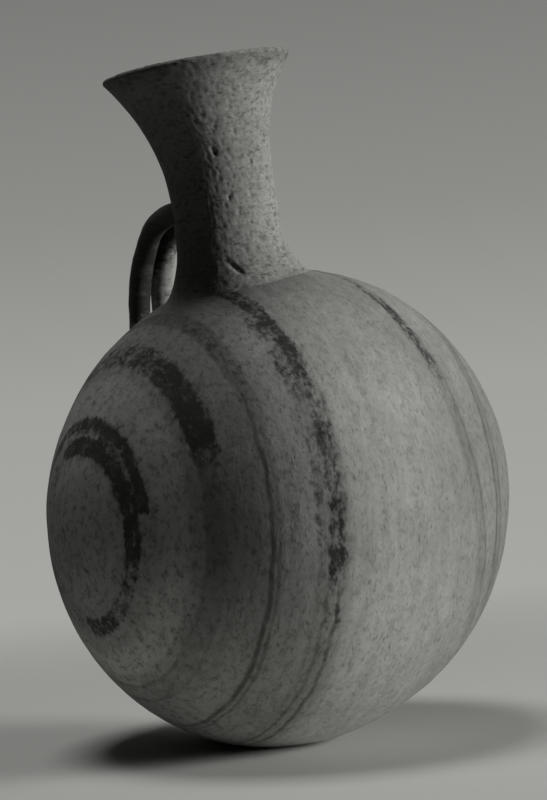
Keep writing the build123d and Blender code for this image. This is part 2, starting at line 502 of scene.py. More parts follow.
for vertex in neck_joint.data.vertices:
    radius = math.hypot(vertex.co.x, vertex.co.y)
    ring = min(range(LUTE_RINGS + 1), key=lambda n: abs(lute_rings[n] - radius))
    step = round(math.atan2(vertex.co.y, vertex.co.x) / (2 * math.pi) * LUTE_STEPS) % LUTE_STEPS
    skin = lute_floor[ring, step]
    share = ring / LUTE_RINGS
    lift = (LUTE_TOP - skin) * (1.0 - math.sin(0.5 * math.pi * share))
    vertex.co.z = skin + lift - LUTE_SINK * share**6
pick(neck_joint)
bpy.ops.object.mode_set(mode="EDIT")
bpy.ops.mesh.select_all(action="SELECT")
bpy.ops.mesh.normals_make_consistent(inside=False)
bpy.ops.object.mode_set(mode="OBJECT")
if sum(polygon.normal.z for polygon in neck_joint.data.polygons) < 0:
    neck_joint.data.flip_normals()
lute_wall = neck_joint.modifiers.new("thickness", "SOLIDIFY")
lute_wall.thickness = LUTE_WALL
lute_wall.offset = -1.0
apply_all(neck_joint)
roughen(neck_joint, "joint dents", grain=6.0 * MM, height=0.5 * MM)
roughen(neck_joint, "joint skin", grain=2.0 * MM, height=0.08 * MM)
pit(neck_joint, "joint pits", grain=1.0 * MM, depth=0.22 * MM, start=0.56, end=0.72)
gouge(neck_joint, JOINT_CREASES)
lean_over(neck_joint)
smooth(neck_joint)
print("joint", len(neck_joint.data.vertices), "points")

# %% [markdown]
# The handle is two rolls of clay laid side by side, from the neck out and down to the barrel's shoulder.
# Each roll starts as a circle that is extruded along the straight runs and spun round the two bends.
# The rolls lie together at the neck and spread a little towards the foot.

# %% Handle rolls
ROLL_RADIUS = 3.4 * MM
ROLL_SQUEEZE = 0.1 * MM
ROLL_OFFSET = ROLL_RADIUS - ROLL_SQUEEZE
ROLL_SPLAY = math.radians(2.0)
ROLL_SIDES = 28
ROLL_STEP = 1.3 * MM
ROLL_WELD = 0.01 * MM
HANDLE_RISE = 20.6 * MM
HANDLE_HEIGHT = BARREL_RADIUS + HANDLE_RISE
HANDLE_SHIFT = 0.6 * MM
HANDLE_REACH = 21.1 * MM
FOOT_ANGLE = math.radians(55.2)
FOOT_RISE = 30.0 * MM
FOOT_LEAN = math.radians(5.0)
BEND_SHARE = 0.45
SEAT_DEPTH = 8.0 * MM
HANDLE_MIDDLE = CENTRE + NECK_UP * HANDLE_HEIGHT + NECK_ACROSS * HANDLE_SHIFT
FOOT = Vector((BARREL_RADIUS * math.sin(FOOT_ANGLE), BARREL_RADIUS * math.cos(FOOT_ANGLE) - HANDLE_HEIGHT))
TAIL = Vector((math.sin(FOOT_LEAN), -math.cos(FOOT_LEAN)))
ROUTE = [
    Vector((BORE_RADIUS, 0.0)), Vector((THROAT_RADIUS + HANDLE_REACH, 0.0)),
    FOOT - TAIL * FOOT_RISE, FOOT + TAIL * SEAT_DEPTH,
]


def bend_radius(before, corner, after):
    """A bend takes its share of the shorter run on either side."""
    turn = (corner - before).angle(after - corner)
    shorter = min((corner - before).length, (after - corner).length)
    return BEND_SHARE * shorter / math.tan(0.5 * turn)


BENDS = [bend_radius(*ROUTE[0:3]), bend_radius(*ROUTE[1:4])]
print("bends", [round(bend / MM, 1) for bend in BENDS], "mm")


def roll_frame(side):
    """Start point and upward direction of one roll's own flat plane."""
    start = HANDLE_MIDDLE + NECK_ACROSS * (side * ROLL_OFFSET)
    rise = NECK_UP * math.cos(ROLL_SPLAY) - NECK_ACROSS * (side * math.sin(ROLL_SPLAY))
    return start, rise


def extrude_run(run):
    """Carry the selected end on along a straight run, in short lengths."""
    lengths = max(1, round(run.length / ROLL_STEP))
    for count in range(lengths):
        bpy.ops.mesh.extrude_region_move(TRANSFORM_OT_translate={"value": run / lengths})


def draw_roll(name, side):
    """Extrude and spin one roll of clay along its route."""
    start, rise = roll_frame(side)
    points = [start + OUTWARD * out + rise * up for out, up in ROUTE]
    axis = rise.cross(OUTWARD).normalized()
    bpy.ops.object.select_all(action="DESELECT")
    bpy.ops.mesh.primitive_circle_add(
        vertices=ROLL_SIDES, radius=ROLL_RADIUS, fill_type="NGON",
        location=points[0], rotation=(-0.5 * math.pi, 0.0, 0.0),
    )
    roll = bpy.context.object
    roll.name = name
    roll.data.name = name
    bpy.ops.object.transform_apply(location=True, rotation=True, scale=True)
    bpy.ops.object.mode_set(mode="EDIT")
    bpy.ops.mesh.select_all(action="SELECT")
    here = points[0]
    for corner, bend in zip((1, 2), BENDS):
        heading = (points[corner] - points[corner - 1]).normalized()
        leaving = (points[corner + 1] - points[corner]).normalized()
        turn = heading.angle(leaving)
        reach = bend * math.tan(0.5 * turn)
        extrude_run(points[corner] - heading * reach - here)
        inward = (leaving - heading * heading.dot(leaving)).normalized()
        hub = points[corner] - heading * reach + inward * bend
        steps = max(4, round(bend * turn / ROLL_STEP))
        bpy.ops.mesh.spin(steps=steps, angle=-turn, center=hub, axis=axis)
        here = points[corner] + leaving * reach
    extrude_run(points[3] - here)
    chosen = [vertex.co.copy() for vertex in bmesh.from_edit_mesh(roll.data).verts if vertex.select]
    end = sum(chosen, Vector()) / len(chosen)
    print(name, "ends", round((end - points[3]).length / MM, 3), "mm from its mark")
    bpy.ops.mesh.select_all(action="SELECT")
    bpy.ops.mesh.remove_doubles(threshold=ROLL_WELD)
    bpy.ops.mesh.normals_make_consistent(inside=False)
    bpy.ops.object.mode_set(mode="OBJECT")
    roughen(roll, name + " wobble", grain=11.0 * MM, height=0.7 * MM)
    roughen(roll, name + " skin", grain=2.4 * MM, height=0.22 * MM)
    smooth(roll)
    return roll


handle_near = draw_roll("handle_near", -1)
handle_far = draw_roll("handle_far", 1)

# %% [markdown]
# A pad of clay is smeared round each end of the handle. A circle is flattened to an oval and extruded
# ring by ring along the handle. It is widest where it meets the jug, shrinks into the rolls above, and
# is drawn in again below, where it is pressed into the jug's wall.

# %% Handle pads
PAD_SIDES = 56
PAD_RINGS = 24
PAD_TAIL_WIDTH = 0.4
PAD_END_WIDTH = 0.3
PAD_END_DEPTH = 0.65
UPPER_PAD_SINK = 0.3 * MM


def draw_pad(name, place, along, across, rings):
    """Stack oval rings, given as (way along, half width, half depth)."""
    bpy.ops.object.select_all(action="DESELECT")
    bpy.ops.mesh.primitive_circle_add(
        vertices=PAD_SIDES, radius=1.0, fill_type="NGON", location=(0.0, 0.0, rings[0][0])
    )
    pad = bpy.context.object
    pad.name = name
    pad.data.name = name
    bpy.ops.object.transform_apply(location=True, rotation=True, scale=True)
    bpy.ops.object.mode_set(mode="EDIT")
    bpy.ops.mesh.select_all(action="SELECT")
    bpy.ops.transform.resize(value=(rings[0][1], rings[0][2], 1.0), center_override=(0.0, 0.0, 0.0))
    for before, after in zip(rings, rings[1:]):
        bpy.ops.mesh.extrude_region_move(TRANSFORM_OT_translate={"value": (0.0, 0.0, after[0] - before[0])})
        size = (after[1] / before[1], after[2] / before[2], 1.0)
        bpy.ops.transform.resize(value=size, center_override=(0.0, 0.0, after[0]))
    bpy.ops.mesh.select_all(action="SELECT")
    bpy.ops.mesh.normals_make_consistent(inside=False)
    bpy.ops.object.mode_set(mode="OBJECT")
    depth = along.cross(across).normalized()
    pad.matrix_world = Matrix((across, depth, along)).transposed().to_4x4()
    pad.location = place
    pick(pad)
    bpy.ops.object.transform_apply(location=True, rotation=True, scale=True)
    roughen(pad, name + " dents", grain=4.5 * MM, height=0.5 * MM)
    smooth(pad)
    return pad


def pad_rings(start, reach, swell, half_width, half_depth, narrow, tail):
    """Oval rings that shrink from a swollen base into the two rolls, and by a tail share below the base."""
    rings = []
    for count in range(PAD_RINGS + 1):
        way = start + (reach - start) * count / PAD_RINGS
        extra = swell * ease(reach - way, 0.0, reach)
        sunk = tail * ease(-way, 0.0, -start)
        ending = ease(way, 0.5 * reach, reach)
        width = half_width - narrow * max(0.0, way) + extra
        width *= (1.0 - PAD_TAIL_WIDTH * sunk) * (1.0 - PAD_END_WIDTH * ending)
        depth = (half_depth + extra) * (1.0 - sunk) * (1.0 - PAD_END_DEPTH * ending)
        rings.append((way, width, depth))
    return rings


pad_width = ROLL_OFFSET + ROLL_RADIUS
upper_rings = pad_rings(
    start=-3.4 * MM, reach=6.0 * MM, swell=1.3 * MM,
    half_width=pad_width, half_depth=ROLL_RADIUS, narrow=0.0, tail=0.3,
)
upper_place = HANDLE_MIDDLE + OUTWARD * (THROAT_RADIUS - UPPER_PAD_SINK)
handle_upper_pad = draw_pad("handle_upper_pad", upper_place, OUTWARD, NECK_ACROSS, upper_rings)

foot_width = pad_width - FOOT.y * math.sin(ROLL_SPLAY)
lower_rings = pad_rings(
    start=-9.0 * MM, reach=11.0 * MM, swell=1.8 * MM,
    half_width=foot_width, half_depth=ROLL_RADIUS, narrow=math.sin(ROLL_SPLAY), tail=0.42,
)
lower_place = HANDLE_MIDDLE + NECK_UP * FOOT.y + OUTWARD * FOOT.x
lower_along = -(OUTWARD * TAIL.x + NECK_UP * TAIL.y)
handle_lower_pad = draw_pad("handle_lower_pad", lower_place, lower_along, NECK_ACROSS, lower_rings)
print("rolls in the pads", round(2 * pad_width / MM, 1), "and", round(2 * foot_width / MM, 1), "mm wide")

# %% [markdown]
# The finish is fired clay all over: matt and pale grey, flecked, finely striated round the barrel.
# A small class keeps the node work readable: each call adds one node and hands back its output.
# Everything reads Object coordinates, counted in millimetres from the middle of the barrel.

# %% Helpers for the clay's nodes
class Clay:
    """One clay material, built node by node."""

    def __init__(self, name):
        self.material = bpy.data.materials.new(name)
        self.material.use_nodes = True
        self.tree = self.material.node_tree
        self.shader = self.tree.nodes["Principled BSDF"]

    def node(self, kind, **settings):
        made = self.tree.nodes.new(kind)
        for key, value in settings.items():
            setattr(made, key, value)
        return made

    def feed(self, socket, value):
        if isinstance(value, bpy.types.NodeSocket):
            self.tree.links.new(value, socket)
        else:
            socket.default_value = value

    def math(self, operation, *values):
        made = self.node("ShaderNodeMath", operation=operation)
        for socket, value in zip(made.inputs, values):
            self.feed(socket, value)
        return made.outputs[0]

    def step(self, value, low, high, start=0.0, end=1.0):
        made = self.node("ShaderNodeMapRange", interpolation_type="SMOOTHSTEP")
        for socket, number in zip(made.inputs, (value, low, high, start, end)):
            self.feed(socket, number)
        return made.outputs[0]

    def turn(self, vector, shift=(0, 0, 0), scale=(1, 1, 1), rotation=(0, 0, 0)):
        made = self.node("ShaderNodeMapping")
        self.feed(made.inputs["Vector"], vector)
        made.inputs["Location"].default_value = shift
        made.inputs["Rotation"].default_value = rotation
        made.inputs["Scale"].default_value = scale
        return made.outputs[0]

    def grain(self, vector, sizes, shift=(0, 0, 0), detail=2.0, rough=0.5):
        """Noise with a size in millimetres along each axis."""
        scale = tuple(1.0 / size for size in sizes)
        made = self.node("ShaderNodeTexNoise")
        self.feed(made.inputs["Vector"], self.turn(vector, shift, scale))
        made.inputs["Scale"].default_value = 1.0
        made.inputs["Detail"].default_value = detail
        made.inputs["Roughness"].default_value = rough
        return made.outputs[0]

    def ramp(self, value, stops):
        made = self.node("ShaderNodeValToRGB")
        elements = made.color_ramp.elements
        while len(elements) < len(stops):
            elements.new(1.0)
        for element, (place, level) in zip(elements, stops):
            element.position = place
            element.color = (level, level, level, 1.0)
        self.feed(made.inputs[0], value)
        return made.outputs[0]

    def blend(self, share, first, second, kind="MIX"):
        made = self.node("ShaderNodeMix", data_type="RGBA", blend_type=kind)
        self.feed(made.inputs[0], share)
        self.feed(made.inputs[6], first)
        self.feed(made.inputs[7], second)
        return made.outputs[2]


# %% [markdown]
# The painted rings. The barrel turned while the brush was held still, so every ring is a band at one
# distance from the near pole. Each stroke has a middle (millimetres along the skin from that pole),
# a drift per degree, a swing, a half width, and how well it is kept at angles round the barrel:
# 0 degrees is the top, 90 the front, 180 underneath, and 270 the handle side.
# Where the paint itself has gone, a grey stain is left, darker along the two edges of the brush.
# Two bands of the stain list are painted shade, where the lamps reach the barrel weakly.

# %% Painted strokes
PAINT = [
    ("pole ring", 23.2, 0.037, 0.0, 3.1,
     [(-60, 0.4), (-30, 0.4), (-15, 0.92), (20, 1.0), (85, 1.05), (112, 0.9), (125, 0.6), (150, 0.55),
      (165, 0.9), (185, 0.8), (200, 0.35), (240, 0.45), (300, 0.4)]),
    ("pole ring outer turn", 30.3, 0.012, 0.0, 2.3,
     [(-60, 0.75), (-10, 0.98), (40, 1.05), (83, 1.05), (87, 0.0), (200, 0.0), (300, 0.75)]),
    ("pole ring between", 27.9, 0.0, 0.0, 1.9,
     [(-60, 0.3), (5, 0.6), (30, 0.8), (60, 0.85), (84, 0.95), (88, 0.0), (200, 0.0), (300, 0.3)]),
    ("second ring", 53.4, 0.0, 0.0, 4.5,
     [(-60, 0.6), (-20, 0.6), (3, 0.6), (10, 0.76), (22, 0.72), (30, 1.0), (64, 1.0), (72, 0.3), (90, 0.0),
      (190, 0.0), (215, 0.5), (300, 0.6)]),
    ("third ring", 69.0, 0.0, 0.0, 2.5,
     [(-60, 0.55), (-20, 0.5), (5, 0.36), (28, 0.45), (48, 0.42), (62, 0.1), (80, 0.0), (190, 0.0),
      (215, 0.5), (300, 0.55)]),
    ("fourth ring", 85.5, 0.0, 0.0, 2.7,
     [(-60, 0.6), (-35, 0.5), (-28, 0.0), (8, 0.0), (15, 0.84), (25, 0.78), (35, 0.9), (50, 0.86),
      (62, 0.5), (70, 0.76), (85, 0.66), (100, 0.82), (108, 0.4), (125, 0.25), (160, 0.12), (190, 0.0),
      (215, 0.5), (300, 0.6)]),
    ("fourth ring inner", 81.6, 0.0, 0.0, 1.8,
     [(-60, 0.0), (20, 0.2), (32, 0.64), (52, 0.62), (64, 0.3), (80, 0.46), (100, 0.46), (110, 0.1),
      (200, 0.0)]),
    ("fifth ring", 131.0, 0.0, 11.5, 2.3,
     [(-60, 0.55), (-25, 0.5), (0, 0.15), (18, 0.3), (28, 0.55), (35, 0.72), (52, 0.68), (60, 0.3),
      (75, 0.1), (190, 0.1), (215, 0.5), (300, 0.55)]),
    ("far pole outer ring", 177.0, 0.0, 0.0, 3.4,
     [(-60, 0.6), (0, 0.7), (60, 0.75), (150, 0.5), (220, 0.75), (300, 0.6)]),
    ("far pole ring", 196.0, 0.0, 0.0, 2.4, [(-60, 0.7), (30, 0.8), (120, 0.6), (200, 0.75), (300, 0.7)]),
]
STAIN_AND_SHADE = [
    # The first two bands are painted shade, on top of the shoulder and at the front between rings two and
    # three.
    ("painted shade on the shoulder", 106.0, 0.0, 0.0, 19.0,
     [(-60, 0.1), (0, 0.0), (14, 0.03), (22, 0.2), (34, 0.34), (50, 0.22), (64, 0.0), (230, 0.0),
      (300, 0.1)]),
    ("painted shade between rings", 62.0, 0.0, 0.0, 9.0,
     [(-60, 0.1), (30, 0.12), (60, 0.34), (85, 0.36), (100, 0.24), (114, 0.1), (200, 0.05), (300, 0.1)]),
    ("pole ring halo", 26.0, 0.03, 0.0, 7.0, [(-60, 0.16), (120, 0.2), (300, 0.16)]),
    ("second ring halo", 53.4, 0.0, 0.0, 7.5, [(-60, 0.2), (20, 0.3), (66, 0.3), (300, 0.2)]),
    ("second ring faded", 52.8, 0.0, 0.0, 3.1,
     [(-60, 0.3), (5, 0.35), (66, 0.6), (80, 0.52), (115, 0.52), (140, 0.46), (185, 0.35), (220, 0.3),
      (300, 0.3)]),
    ("second ring edge", 49.9, 0.0, 0.0, 0.8,
     [(-60, 0.0), (66, 0.1), (100, 0.3), (150, 0.6), (190, 0.6), (225, 0.0)]),
    ("second ring far edge", 55.6, 0.0, 0.0, 0.8,
     [(-60, 0.0), (66, 0.1), (90, 0.45), (185, 0.6), (225, 0.0)]),
    ("third ring faded", 69.0, 0.0, 0.0, 2.8,
     [(-60, 0.3), (5, 0.5), (45, 0.58), (60, 0.42), (100, 0.24), (130, 0.14), (170, 0.1), (300, 0.3)]),
    ("third ring line", 68.3, 0.0, 0.0, 0.75,
     [(-60, 0.1), (40, 0.3), (55, 0.7), (80, 0.9), (130, 0.9), (165, 0.8), (200, 0.3), (300, 0.1)]),
    ("third ring hairline", 70.1, 0.0, 0.0, 0.55,
     [(-60, 0.0), (45, 0.1), (60, 0.5), (165, 0.55), (200, 0.1)]),
    ("fourth ring faded", 84.6, 0.0, 0.0, 4.4,
     [(-60, 0.2), (10, 0.25), (60, 0.34), (100, 0.34), (112, 0.32), (170, 0.22), (200, 0.2), (300, 0.2)]),
    ("fourth ring line", 83.4, 0.0, 0.0, 0.7, [(-60, 0.0), (98, 0.0), (110, 0.65), (165, 0.7), (195, 0.1)]),
    ("fourth ring far line", 86.4, 0.0, 0.0, 0.7,
     [(-60, 0.0), (98, 0.0), (110, 0.78), (165, 0.75), (195, 0.1)]),
    ("fifth ring faded", 131.0, 0.0, 11.5, 3.0,
     [(-60, 0.2), (20, 0.25), (60, 0.3), (118, 0.24), (160, 0.15), (300, 0.2)]),
    ("fifth ring edge", 129.2, 0.0, 11.5, 0.7,
     [(-60, 0.0), (52, 0.0), (62, 0.34), (118, 0.3), (150, 0.1), (190, 0.0)]),
    ("fifth ring far edge", 132.8, 0.0, 11.5, 0.7,
     [(-60, 0.0), (48, 0.0), (60, 0.45), (90, 0.55), (118, 0.4), (150, 0.1), (190, 0.0)]),
    ("sixth ring faded", 146.8, 0.0, 4.0, 3.0, [(-60, 0.2), (60, 0.24), (120, 0.2), (300, 0.2)]),
    ("sixth ring edge", 145.0, 0.0, 4.0, 0.7,
     [(-60, 0.3), (40, 0.3), (62, 0.6), (105, 0.7), (150, 0.2), (300, 0.3)]),
    ("sixth ring far edge", 148.6, 0.0, 4.0, 0.7,
     [(-60, 0.3), (40, 0.3), (62, 0.45), (105, 0.45), (150, 0.2), (300, 0.3)]),
]
FIRST_ANGLE = -60.0
FULL_TURN = 360.0
SKIN_RADIUS = 69.0
SWING_START = 75.0
print(len(PAINT), "painted strokes and", len(STAIN_AND_SHADE), "stains")

# %% [markdown]
# The colours of clay, stain and paint are all near grey. The barrel isn't one tone from pole to pole:
# soft belts, given in millimetres from the near pole, are darker or paler, and some are more soiled.

# %% Colours of clay and paint
BARREL_COLOUR = (0.41, 0.408, 0.387, 1.0)
NECK_COLOUR = (0.295, 0.293, 0.277, 1.0)
FLECK_COLOUR = (0.075, 0.073, 0.064, 1.0)
CHIP_COLOUR = (0.46, 0.46, 0.44, 1.0)
# The stain colour is also the colour of the painted shade bands.
STAIN_AND_SHADE_COLOUR = (0.062, 0.061, 0.054, 1.0)
# The paint colour is also the colour of the painted shadow on the handle.
PAINT_AND_SHADOW_COLOUR = (0.0085, 0.0083, 0.0068, 1.0)
PAINT_KEPT = 0.95
BELTS = [
    (0, 0.90), (40, 0.86), (58, 0.68), (76, 0.67), (88, 0.88), (96, 1.0), (108, 0.87), (118, 0.74),
    (130, 0.61), (146, 0.52), (165, 0.48), (190, 0.59), (215, 0.68),
]
SOILING = [(0, 1.0), (74, 0.9), (98, 0.42), (125, 0.42), (150, 0.7), (215, 1.0)]
print("barrel clay", BARREL_COLOUR[:3], "in", len(BELTS), "belts")

# %% [markdown]
# Each pattern has to know where it is. The barrel's skin has two measures of its own: the way along it
# from the near pole, and the angle round it. Plain trigonometry gives both from the place, so nothing
# has to be unwrapped.

# %% Places on the skin
HALF_TURN = math.pi * SKIN_RADIUS


def barrel_places(clay):
    """Millimetre coordinates from the barrel's middle, and the skin's own two measures."""
    source = clay.node("ShaderNodeTexCoord").outputs["Object"]
    place = clay.turn(source, (0.0, 0.0, -AXIS_HEIGHT / MM), (1 / MM, 1 / MM, 1 / MM))
    parts = clay.node("ShaderNodeSeparateXYZ")
    clay.feed(parts.inputs[0], place)
    x, y, z = parts.outputs
    off_axis = clay.math("ADD", clay.math("MULTIPLY", y, y), clay.math("MULTIPLY", z, z))
    off_axis = clay.math("SQRT", off_axis)
    tilt = clay.math("ARCTAN2", off_axis, clay.math("MULTIPLY", x, -1.0))
    from_pole = clay.math("MULTIPLY", tilt, SKIN_RADIUS)
    angle = clay.math("DEGREES", clay.math("ARCTAN2", clay.math("MULTIPLY", y, -1.0), z))
    turned = clay.math("FLOORED_MODULO", clay.math("SUBTRACT", angle, FIRST_ANGLE), FULL_TURN)
    return place, from_pole, turned


def along_barrel(clay, from_pole, marks):
    """A level that changes along the barrel, from marks in millimetres from the near pole."""
    stops = [(mark / HALF_TURN, level) for mark, level in marks]
    return clay.ramp(clay.math("DIVIDE", from_pole, HALF_TURN), stops)


# %% [markdown]
# A stroke of the brush is a band with soft edges, kept more or less well on its way round. Where strokes
# lie over each other, the strongest shows. A slow noise shifts them a little, as no hand is steady.

# %% Rings from the brush
DRIFT_END = 200.0
EDGE_SHARE = 0.12
EDGE_MOST = 0.8
PAINT_EDGE = 1.2
STAIN_AND_SHADE_EDGE = 0.5
RING_WANDER = 1.8


def brush(clay, strokes, along, turned, edge):
    """The strongest of some strokes at each place."""
    angle = clay.math("ADD", turned, FIRST_ANGLE)
    swing = clay.math("SINE", clay.math("RADIANS", clay.math("SUBTRACT", angle, SWING_START)))
    share = clay.math("DIVIDE", turned, FULL_TURN)
    kept = None
    for title, middle, drift, sway, half, levels in strokes:
        centre = middle
        if drift:
            centre = clay.math("MULTIPLY_ADD", clay.math("MINIMUM", angle, DRIFT_END), drift, centre)
        if sway:
            centre = clay.math("MULTIPLY_ADD", swing, sway, centre)
        gap = clay.math("ABSOLUTE", clay.math("SUBTRACT", along, centre))
        soft = min(EDGE_MOST * half, edge + EDGE_SHARE * half)
        band = clay.step(gap, half - soft, half + soft, start=1.0, end=0.0)
        stops = [((mark - FIRST_ANGLE) / FULL_TURN, level) for mark, level in levels]
        level = clay.math("MULTIPLY", band, clay.ramp(share, stops))
        kept = level if kept is None else clay.math("MAXIMUM", kept, level)
    return kept


def barrel_rings(clay, place, from_pole, turned):
    """How well the rings' paint is kept, and how strong the stains and the painted shade bands are."""
    wander = clay.grain(place, (9.0, 9.0, 9.0), shift=(3.0, 1.0, 7.0))
    along = clay.math("MULTIPLY_ADD", clay.math("SUBTRACT", wander, 0.5), RING_WANDER, from_pole)
    kept = brush(clay, PAINT, along, turned, PAINT_EDGE)
    return kept, brush(clay, STAIN_AND_SHADE, along, turned, STAIN_AND_SHADE_EDGE)


# %% [markdown]
# The neck has lost nearly all its paint, but for a worn band at the lip. On the handle the neck's shadow is
# painted on as dark paint: a painted shadow that reaches further down the near roll, deeper in that shadow,
# than down the far one. Both are marked off by their place alone,
# in millimetres along the neck, across it and out behind it, with soft steps for edges.

# %% Worn lip and painted shadow on the handle
LIP_WANDER = 4.0
LIP_PAINT_START = 6.0
LIP_PAINT_FULL = 2.5
LIP_PAINT_KEPT = 0.3
HANDLE_SLANT = 0.8
HANDLE_BEHIND = (27.0, 31.0)
HANDLE_TOP = (98.0, 104.0)
HANDLE_OFF_NECK = (1.2, 2.6)
HANDLE_BESIDE = (-1.5, 2.5)
# Heights above which the neck's shadow is painted dark on the near and the far roll.
HANDLE_SHADOW_NEAR = 59.0
HANDLE_SHADOW_FAR = 79.0
HANDLE_SHADOW_SOFT = 8.0
HANDLE_SHADOW_STRENGTH = 1.3


def handle_painted_shadow(clay, place, up):
    """How strong the neck's painted shadow on the handle is, at a place some way up the neck."""
    parts = clay.node("ShaderNodeSeparateXYZ")
    clay.feed(parts.inputs[0], place)
    x, y, z = parts.outputs
    behind = clay.math("MULTIPLY_ADD", clay.math("SUBTRACT", up, BARREL_RADIUS / MM), HANDLE_SLANT, y)
    across = clay.math("MULTIPLY", x, math.cos(NECK_LEAN))
    across = clay.math("MULTIPLY_ADD", z, math.sin(NECK_LEAN), across)
    off_neck = clay.math("MULTIPLY_ADD", across, across, clay.math("MULTIPLY", y, y))
    off_neck = clay.math("SUBTRACT", clay.math("SQRT", off_neck), THROAT_RADIUS / MM)
    far_side = clay.step(across, *HANDLE_BESIDE)
    lowest = clay.math("MULTIPLY_ADD", far_side, HANDLE_SHADOW_FAR - HANDLE_SHADOW_NEAR, HANDLE_SHADOW_NEAR)
    above = clay.math("SUBTRACT", up, lowest)
    kept = clay.step(behind, *HANDLE_BEHIND)
    kept = clay.math("MULTIPLY", kept, clay.step(up, *HANDLE_TOP, start=1.0, end=0.0))
    kept = clay.math("MULTIPLY", kept, clay.step(off_neck, *HANDLE_OFF_NECK))
    kept = clay.math("MULTIPLY", kept, clay.step(above, -HANDLE_SHADOW_SOFT, HANDLE_SHADOW_SOFT))
    return clay.math("MULTIPLY", kept, HANDLE_SHADOW_STRENGTH)


def lip_paint_and_handle_shadow(clay, place, from_pole, turned):
    """How well the lip's paint is kept with the painted shadow on the handle, and the lip's weak stain."""
    up = clay.node("ShaderNodeVectorMath", operation="DOT_PRODUCT")
    clay.feed(up.inputs[0], place)
    up.inputs[1].default_value = NECK_UP
    wander = clay.grain(place, (6.0, 6.0, 6.0), shift=(1.0, 4.0, 2.0))
    edge = clay.math("MULTIPLY_ADD", clay.math("SUBTRACT", wander, 0.5), LIP_WANDER, up.outputs["Value"])
    lip = LIP_HEIGHT / MM
    band = clay.step(edge, lip - LIP_PAINT_START, lip - LIP_PAINT_FULL)
    worn = clay.math("MULTIPLY", band, LIP_PAINT_KEPT)
    return clay.math("MAXIMUM", worn, handle_painted_shadow(clay, place, edge)), worn


# %% [markdown]
# The clay itself: a pale grey with slow mottling, a fine grain, and striations that run round the
# barrel because it was turned. Dark flecks lie along the same way. Where a stroke was painted, the
# paint is kept only where a speckled noise is high enough, so thin wear breaks up like real wear.

# %% Helpers for the clay's colour
def vary(clay, tone, noise, amount):
    """Make a tone lighter and darker by a noise, about the tone that it had."""
    return clay.math("MULTIPLY", tone, clay.math("MULTIPLY_ADD", noise, amount, 1.0 - 0.5 * amount))


def fleck_clay(clay, wheel, colour, soiled, flecking):
    """Add smudges, dark flecks in loose clusters and a few pale chips."""
    smudge = clay.grain(wheel, (1.5, 2.5, 2.5), shift=(3.0, 6.0, 9.0), detail=5.0, rough=0.7)
    smudge = clay.math("MULTIPLY", clay.step(smudge, low=0.46, high=0.74, end=0.9), soiled)
    colour = clay.blend(smudge, colour, FLECK_COLOUR)
    cluster = clay.grain(wheel, (8.0, 14.0, 14.0), shift=(1.0, 5.0, 3.0))
    dots = clay.grain(wheel, (0.7, 1.9, 1.9), shift=(7.0, 7.0, 1.0), detail=3.0, rough=0.55)
    dots = clay.math("MULTIPLY_ADD", clay.math("SUBTRACT", cluster, 0.5), 0.26, dots)
    fleck = clay.step(dots, low=0.57, high=0.76, end=flecking)
    colour = clay.blend(fleck, colour, FLECK_COLOUR)
    chips = clay.grain(wheel, (0.6, 0.6, 0.6), shift=(2.0, 8.0, 5.0), detail=1.0)
    colour = clay.blend(clay.step(chips, low=0.735, high=0.79, end=0.6), colour, CHIP_COLOUR)
    return colour, fleck


def lay_paint(clay, wheel, colour, kept, faded, cloud):
    """Lay stain and painted shade, then dark paint where the wear lets it hold, painted shadow on the
    handle.
    """
    blotch = clay.grain(wheel, (2.6, 4.4, 4.4), shift=(6.0, 1.0, 2.0), detail=4.0, rough=0.62)
    stain = clay.math("MULTIPLY", faded, clay.math("MULTIPLY_ADD", blotch, 1.5, 0.2))
    # This blend lays the stains and, on the barrel, the painted shade bands.
    colour = clay.blend(clay.math("MINIMUM", stain, 0.9), colour, STAIN_AND_SHADE_COLOUR)
    wear = clay.grain(wheel, (1.0, 1.9, 1.9), shift=(4.0, 2.0, 6.0), detail=5.0, rough=0.68)
    grip = clay.math("MULTIPLY_ADD", clay.math("SUBTRACT", wear, 0.5), 1.7, kept)
    grip = clay.math("MULTIPLY_ADD", clay.math("SUBTRACT", blotch, 0.5), 1.5, grip)
    shown = clay.step(kept, low=0.02, high=0.2, end=PAINT_KEPT)
    paint = clay.math("MULTIPLY", clay.step(grip, low=0.24, high=0.98), shown)
    paint = clay.math("MULTIPLY", paint, clay.step(cloud, low=0.30, high=0.55, start=0.84))
    return clay.blend(paint, colour, PAINT_AND_SHADOW_COLOUR), paint


def raise_relief(clay, streak, speck, fleck, paint):
    """Bump the skin: striations and grain stand up, flecks lie deep, paint lies on top."""
    relief = clay.math("MULTIPLY_ADD", streak, 0.3, clay.math("MULTIPLY", speck, 0.8))
    relief = clay.math("SUBTRACT", relief, clay.math("MULTIPLY", fleck, 0.5))
    relief = clay.math("MULTIPLY_ADD", paint, 0.12, relief)
    bump = clay.node("ShaderNodeBump")
    bump.inputs["Strength"].default_value = 0.35
    bump.inputs["Distance"].default_value = 0.3 * MM
    clay.feed(bump.inputs["Height"], relief)
    clay.feed(clay.shader.inputs["Normal"], bump.outputs[0])


# %% [markdown]
# Two clays come out of the kiln: the ringed one of the barrel, and the rougher, worn one of the neck
# and handle. They differ in colour, in grit and in the way that their wheel turned.

# %% Fired clays
MOTTLE = 0.55
CLOUD = 0.50
STREAK = 0.22
BARREL_WHEEL = (0.0, 0.0, 0.0)
NECK_WHEEL = (0.0, math.radians(90.0) + NECK_LEAN, 0.0)
NECK_BELTS = [(0, 1.0), (215, 1.0)]
NECK_SOILING = [(0, 0.95), (215, 0.95)]


